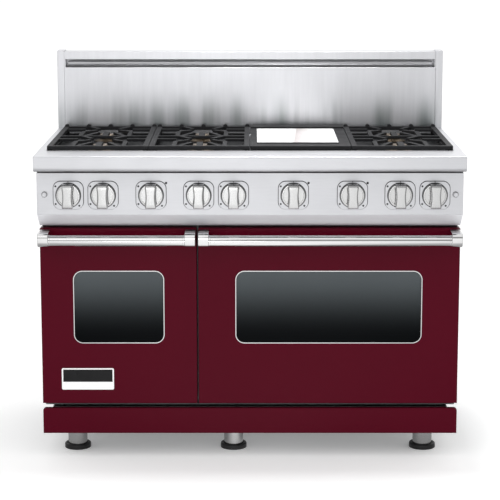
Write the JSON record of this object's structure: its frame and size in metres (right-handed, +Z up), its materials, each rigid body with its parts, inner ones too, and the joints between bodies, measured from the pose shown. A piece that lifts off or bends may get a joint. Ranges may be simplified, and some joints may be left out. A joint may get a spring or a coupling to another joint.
{
  "type": "freestanding gas range",
  "caption": "Freestanding gas range with drop-down oven doors, control knobs, sealed burners under lift-off grates, a griddle and a tall vented backguard.",
  "frame": {"origin": "on the floor under the centre of the range's overall box", "axes": "+X to the user's right, +Y to the back of the range, +Z up; the doors and knobs face -Y"},
  "size_m": [1.216, 0.711, 1.152],
  "materials": {
    "stainless": "fine vertical brushed stainless steel, satin",
    "dark_steel": "shaded brushed steel rail inside the vent slot",
    "galvanised": "aluminised steel sheet, dull, with faint spangle",
    "red_enamel": "deep burgundy gloss enamel",
    "oven_enamel": "speckled dark porcelain enamel",
    "bright_wire": "nickel-plated wire",
    "chrome": "bright chrome",
    "polished_steel": "polished stainless steel",
    "window_glass": "dark tinted oven glass",
    "gasket_braid": "woven glass-fibre braid",
    "black_iron": "satin black enamelled cast iron",
    "burner_brass": "heat-toned brass, dulled to taupe",
    "black_plastic": "satin black plastic"
  },
  "bodies": {
    "root": {"base_frame": "galvanised", "side_panels": "galvanised", "rear_panel": "galvanised", "front_frame": "oven_enamel", "left_oven_liner": "oven_enamel", "right_oven_liner": "oven_enamel", "rack_guides": "bright_wire", "oven_burners": "galvanised", "oven_gaskets": "gasket_braid", "kick_plate": "red_enamel", "control_panel": "stainless", "knob_bezels": "stainless", "gas_manifold": "burner_brass", "indicator_lamps": "black_plastic", "landing_ledge": "stainless", "cooktop_pan": "stainless", "burner_bases": "burner_brass", "burner_caps": "burner_brass", "griddle_frame": "black_iron", "backguard_panel": "stainless", "backguard_shell": "stainless", "backguard_rail": "dark_steel", "leg_sleeves": "chrome", "cord_gland": "black_plastic", "screws": "chrome"},
    "levelling_feet": {"levelling_feet": "black_plastic"},
    "left_door": {"left_door_skin": "red_enamel", "left_window_trim": "chrome", "left_door_glass": "window_glass", "left_door_liner": "oven_enamel", "left_handle_bar": "polished_steel", "left_handle_brackets": "polished_steel", "left_door_hinges": "galvanised", "nameplate": "polished_steel"},
    "right_door": {"right_door_skin": "red_enamel", "right_window_trim": "chrome", "right_door_glass": "window_glass", "right_door_liner": "oven_enamel", "right_handle_bar": "polished_steel", "right_handle_brackets": "polished_steel", "right_door_hinges": "galvanised"},
    "knob_1": {"knob_1": "polished_steel"},
    "knob_2": {"knob_2": "polished_steel"},
    "knob_3": {"knob_3": "polished_steel"},
    "knob_4": {"knob_4": "polished_steel"},
    "knob_5": {"knob_5": "polished_steel"},
    "knob_6": {"knob_6": "polished_steel"},
    "knob_7": {"knob_7": "polished_steel"},
    "knob_8": {"knob_8": "polished_steel"},
    "knob_9": {"knob_9": "polished_steel"},
    "left_button": {"left_button": "black_plastic"},
    "right_button": {"right_button": "black_plastic"},
    "grate_1": {"grate_1": "black_iron"},
    "grate_2": {"grate_2": "black_iron"},
    "grate_3": {"grate_3": "black_iron"},
    "griddle_plate": {"griddle_plate": "polished_steel"},
    "left_rack_low": {"left_rack_low": "bright_wire"},
    "left_rack_high": {"left_rack_high": "bright_wire"},
    "right_rack_low": {"right_rack_low": "bright_wire"},
    "right_rack_high": {"right_rack_high": "bright_wire"}
  },
  "joints": [
    {"name": "left_door_hinge", "type": "hinge", "parent": "root", "child": "left_door", "pos_m": [-0.38, -0.2305, 0.18101], "axis": [1, 0, 0], "range_deg": [0, 90], "stiffness_Nm_per_rad": 6, "springref_deg": -22.92},
    {"name": "right_door_hinge", "type": "hinge", "parent": "root", "child": "right_door", "pos_m": [0.2282, -0.2305, 0.18101], "axis": [1, 0, 0], "range_deg": [0, 90], "stiffness_Nm_per_rad": 10, "springref_deg": -22.92},
    {"name": "knob_1_turn", "type": "hinge", "parent": "root", "child": "knob_1", "pos_m": [-0.51696, -0.3055, 0.786], "axis": [0, -1, 0], "range_deg": [0, 270]},
    {"name": "knob_2_turn", "type": "hinge", "parent": "root", "child": "knob_2", "pos_m": [-0.41796, -0.3055, 0.786], "axis": [0, -1, 0], "range_deg": [0, 270]},
    {"name": "knob_3_turn", "type": "hinge", "parent": "root", "child": "knob_3", "pos_m": [-0.28151, -0.3055, 0.786], "axis": [0, -1, 0], "range_deg": [0, 300]},
    {"name": "knob_4_turn", "type": "hinge", "parent": "root", "child": "knob_4", "pos_m": [-0.146, -0.3055, 0.786], "axis": [0, -1, 0], "range_deg": [0, 270]},
    {"name": "knob_5_turn", "type": "hinge", "parent": "root", "child": "knob_5", "pos_m": [-0.047, -0.3055, 0.786], "axis": [0, -1, 0], "range_deg": [0, 270]},
    {"name": "knob_6_turn", "type": "hinge", "parent": "root", "child": "knob_6", "pos_m": [0.12343, -0.3055, 0.786], "axis": [0, -1, 0], "range_deg": [0, 300]},
    {"name": "knob_7_turn", "type": "hinge", "parent": "root", "child": "knob_7", "pos_m": [0.29145, -0.3055, 0.786], "axis": [0, -1, 0], "range_deg": [0, 300]},
    {"name": "knob_8_turn", "type": "hinge", "parent": "root", "child": "knob_8", "pos_m": [0.42696, -0.3055, 0.786], "axis": [0, -1, 0], "range_deg": [0, 270]},
    {"name": "knob_9_turn", "type": "hinge", "parent": "root", "child": "knob_9", "pos_m": [0.52596, -0.3055, 0.786], "axis": [0, -1, 0], "range_deg": [0, 270]},
    {"name": "left_button_press", "type": "slide", "parent": "root", "child": "left_button", "axis": [0, 1, 0], "range_m": [0, 0.003], "stiffness_N_per_m": 300},
    {"name": "right_button_press", "type": "slide", "parent": "root", "child": "right_button", "axis": [0, 1, 0], "range_m": [0, 0.003], "stiffness_N_per_m": 300},
    {"name": "grate_1_lift", "type": "slide", "parent": "root", "child": "grate_1", "axis": [0, 0, 1], "range_m": [0, 0.15]},
    {"name": "grate_2_lift", "type": "slide", "parent": "root", "child": "grate_2", "axis": [0, 0, 1], "range_m": [0, 0.15]},
    {"name": "grate_3_lift", "type": "slide", "parent": "root", "child": "grate_3", "axis": [0, 0, 1], "range_m": [0, 0.15]},
    {"name": "griddle_plate_lift", "type": "slide", "parent": "root", "child": "griddle_plate", "axis": [0, 0, 1], "range_m": [0, 0.1]},
    {"name": "left_rack_low_slide", "type": "slide", "parent": "root", "child": "left_rack_low", "axis": [0, -1, 0], "range_m": [0, 0.02]},
    {"name": "left_rack_high_slide", "type": "slide", "parent": "root", "child": "left_rack_high", "axis": [0, -1, 0], "range_m": [0, 0.02]},
    {"name": "right_rack_low_slide", "type": "slide", "parent": "root", "child": "right_rack_low", "axis": [0, -1, 0], "range_m": [0, 0.02]},
    {"name": "right_rack_high_slide", "type": "slide", "parent": "root", "child": "right_rack_high", "axis": [0, -1, 0], "range_m": [0, 0.02]},
    {"name": "feet_screw_out", "type": "slide", "parent": "root", "child": "levelling_feet", "axis": [0, 0, -1], "range_m": [0, 0.05]}
  ]
}
